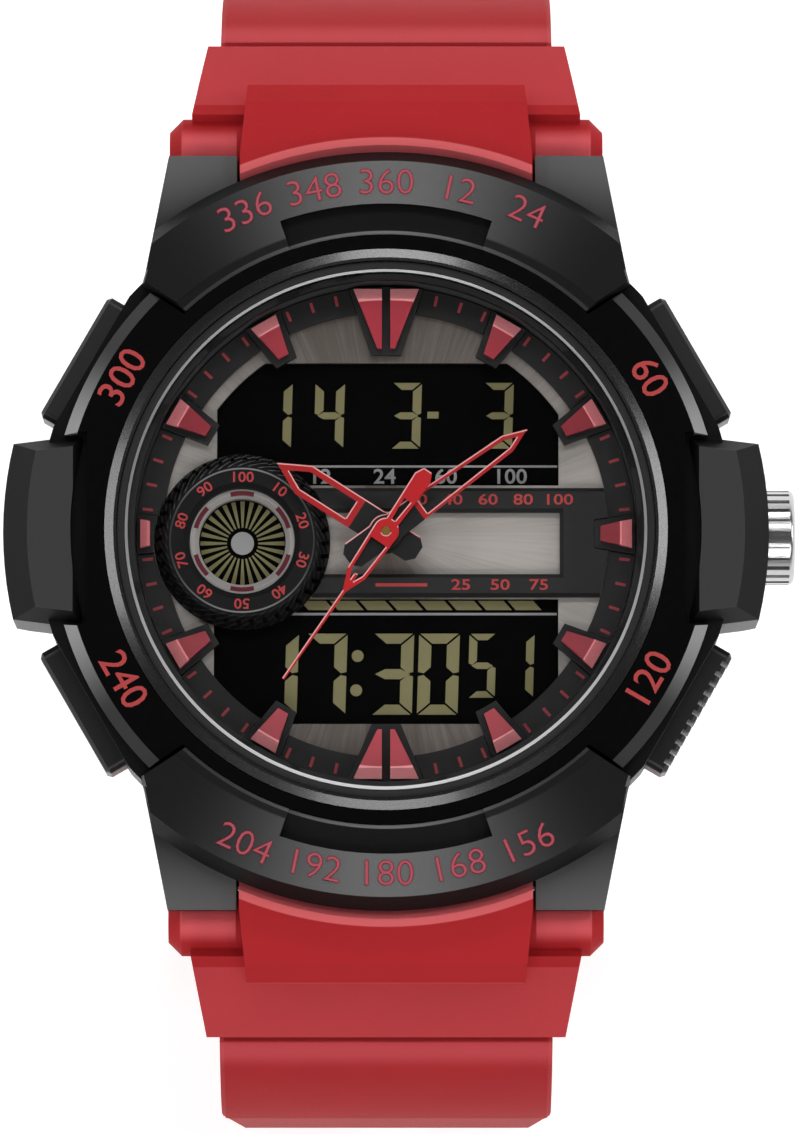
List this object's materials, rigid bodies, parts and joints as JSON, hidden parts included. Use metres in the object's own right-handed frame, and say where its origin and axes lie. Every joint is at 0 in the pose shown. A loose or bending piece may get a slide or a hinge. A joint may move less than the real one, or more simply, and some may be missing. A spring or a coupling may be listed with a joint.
{
  "type": "analogue-digital wristwatch",
  "caption": "Shock-guarded sports wristwatch with analogue hands, two digital windows, side push buttons, a crown and a moulded resin strap with buckle.",
  "frame": {"origin": "centre of the case back's outer face", "axes": "+Z out through the dial towards the viewer, +Y to 12 o'clock, +X to 3 o'clock and the crown"},
  "size_m": [0.0528, 0.0768, 0.0764],
  "materials": {
    "black_resin": "satin",
    "bezel_resin": "satin",
    "bezel_black": "gloss",
    "button_black": "satin",
    "red_resin": "satin",
    "seal_rubber": "matte",
    "steel": "brushed",
    "bright_steel": "polished",
    "spring_steel": "satin",
    "gunmetal": "brushed",
    "rim_grey": "satin",
    "crystal_clear": "clear",
    "reflector_grey": "satin",
    "dial_black": "matte",
    "marker_red": "satin",
    "hand_red": "satin",
    "second_red": "satin",
    "display_dark": "gloss",
    "backlight_cream": "matte",
    "brass": "satin",
    "gear_resin": "satin",
    "module_resin": "matte",
    "copper": "lacquered",
    "magnet": "satin",
    "board_green": "satin",
    "chip_black": "matte",
    "can_metal": "satin"
  },
  "bodies": {
    "case": {"case_body": "black_resin", "case_back": "steel", "back_screws": "bright_steel", "back_gasket": "seal_rubber", "bezel_shroud": "bezel_resin", "bezel_ring": "bezel_black", "crystal_rim": "bright_steel", "crystal_gasket": "seal_rubber", "crystal": "crystal_clear", "reflector_ring": "reflector_grey", "button_springs": "spring_steel", "button_seals": "seal_rubber", "crown_tube": "steel", "crown_seal": "seal_rubber", "dial_plate": "gunmetal", "chapter_ring": "dial_black", "marker_seats": "dial_black", "hour_markers": "marker_red", "dial_frame": "dial_black", "subdial_tyre": "dial_black", "subdial_rim": "rim_grey", "stator": "spring_steel", "coil": "copper", "train_bridge": "module_resin", "main_plate": "module_resin", "circuit_board": "board_green", "connector_strips": "seal_rubber", "controller_chip": "chip_black", "tuning_can": "can_metal", "battery": "steel", "battery_clamp": "spring_steel", "buzzer": "brass", "buzzer_spring": "spring_steel", "backlight": "backlight_cream", "display_panel": "display_dark", "module_frame": "module_resin", "spring_bar_12": "steel", "spring_bar_6": "steel"},
    "seconds": {"second_hand": "second_red", "seconds_wheel": "brass"},
    "third": {"third_wheel": "gear_resin"},
    "centre": {"centre_wheel": "brass", "minute_hand": "hand_red"},
    "minute_work": {"minute_wheel": "gear_resin"},
    "hour": {"hour_wheel": "brass", "hour_hand": "hand_red"},
    "intermediate": {"intermediate_wheel": "gear_resin"},
    "motor_rotor": {"rotor": "magnet"},
    "crown_slide": {"setting_lever": "spring_steel"},
    "crown_knob": {"crown": "bright_steel"},
    "button_2": {"button_2": "button_black"},
    "button_4": {"button_4": "button_black"},
    "button_8": {"button_8": "button_black"},
    "button_10": {"button_10": "button_black"},
    "strap_12": {"strap_buckle_half": "red_resin"},
    "strap_6": {"strap_tip_half": "red_resin"},
    "keeper": {"strap_keeper": "red_resin"},
    "buckle": {"buckle_frame": "steel", "buckle_pin": "steel"},
    "tongue": {"buckle_tongue": "steel"}
  },
  "joints": [
    {"name": "seconds_turn", "type": "hinge", "parent": "case", "child": "seconds", "pos_m": [0, 0, 0.01178], "axis": [0, 0, -1], "continuous": true},
    {"name": "third_turn", "type": "hinge", "parent": "case", "child": "third", "pos_m": [0.00153, 0.00265, 0.0034], "axis": [0, 0, -1], "continuous": true},
    {"name": "minute_turn", "type": "hinge", "parent": "case", "child": "centre", "pos_m": [0, 0, 0.01134], "axis": [0, 0, -1], "continuous": true},
    {"name": "minute_work_turn", "type": "hinge", "parent": "case", "child": "minute_work", "pos_m": [-0.0027, 0.00156, 0.0055], "axis": [0, 0, -1], "continuous": true},
    {"name": "hour_turn", "type": "hinge", "parent": "case", "child": "hour", "pos_m": [0, 0, 0.0109], "axis": [0, 0, -1], "continuous": true},
    {"name": "intermediate_turn", "type": "hinge", "parent": "case", "child": "intermediate", "pos_m": [0.00155, -0.00268, 0.0034], "axis": [0, 0, -1], "continuous": true},
    {"name": "rotor_turn", "type": "hinge", "parent": "case", "child": "motor_rotor", "pos_m": [0.00249, -0.00432, 0.003], "axis": [0, 0, -1], "continuous": true},
    {"name": "crown_pull", "type": "slide", "parent": "case", "child": "crown_slide", "axis": [1, 0, 0], "range_m": [0, 0.001]},
    {"name": "crown_turn", "type": "hinge", "parent": "crown_slide", "child": "crown_knob", "pos_m": [0.025, 0, 0.0066], "axis": [1, 0, 0], "continuous": true},
    {"name": "button_2_press", "type": "slide", "parent": "case", "child": "button_2", "axis": [-0.866, -0.5, 0], "range_m": [0, 0.0008], "stiffness_N_per_m": 1200, "deforming": ["button_springs"]},
    {"name": "button_4_press", "type": "slide", "parent": "case", "child": "button_4", "axis": [-0.866, 0.5, 0], "range_m": [0, 0.0008], "stiffness_N_per_m": 1200, "deforming": ["button_springs"]},
    {"name": "button_8_press", "type": "slide", "parent": "case", "child": "button_8", "axis": [0.866, 0.5, 0], "range_m": [0, 0.0008], "stiffness_N_per_m": 1200, "deforming": ["button_springs"]},
    {"name": "button_10_press", "type": "slide", "parent": "case", "child": "button_10", "axis": [0.866, -0.5, 0], "range_m": [0, 0.0008], "stiffness_N_per_m": 1200, "deforming": ["button_springs"]},
    {"name": "strap_12_swing", "type": "hinge", "parent": "case", "child": "strap_12", "pos_m": [0, 0.0259, 0.0076], "axis": [1, 0, 0], "range_deg": [0, 10]},
    {"name": "strap_6_swing", "type": "hinge", "parent": "case", "child": "strap_6", "pos_m": [0, -0.0259, 0.0076], "axis": [-1, 0, 0], "range_deg": [0, 10]},
    {"name": "keeper_slide", "type": "slide", "parent": "strap_12", "child": "keeper", "axis": [0, 0.766, 0.6428], "range_m": [-0.0015, 0.004]},
    {"name": "buckle_swing", "type": "hinge", "parent": "strap_12", "child": "buckle", "pos_m": [0, 0.01572, -0.04421], "axis": [1, 0, 0], "range_deg": [-90, 10]},
    {"name": "tongue_swing", "type": "hinge", "parent": "buckle", "child": "tongue", "pos_m": [0, 0.01572, -0.04421], "axis": [1, 0, 0], "range_deg": [0, 70]}
  ],
  "couplings": [
    {"joint": "third_turn", "follows": "seconds_turn", "ratio": -0.13333},
    {"joint": "minute_turn", "follows": "seconds_turn", "ratio": 0.016667},
    {"joint": "minute_work_turn", "follows": "seconds_turn", "ratio": -0.0055556},
    {"joint": "hour_turn", "follows": "seconds_turn", "ratio": 0.0013889},
    {"joint": "intermediate_turn", "follows": "seconds_turn", "ratio": -5},
    {"joint": "rotor_turn", "follows": "seconds_turn", "ratio": 30}
  ]
}
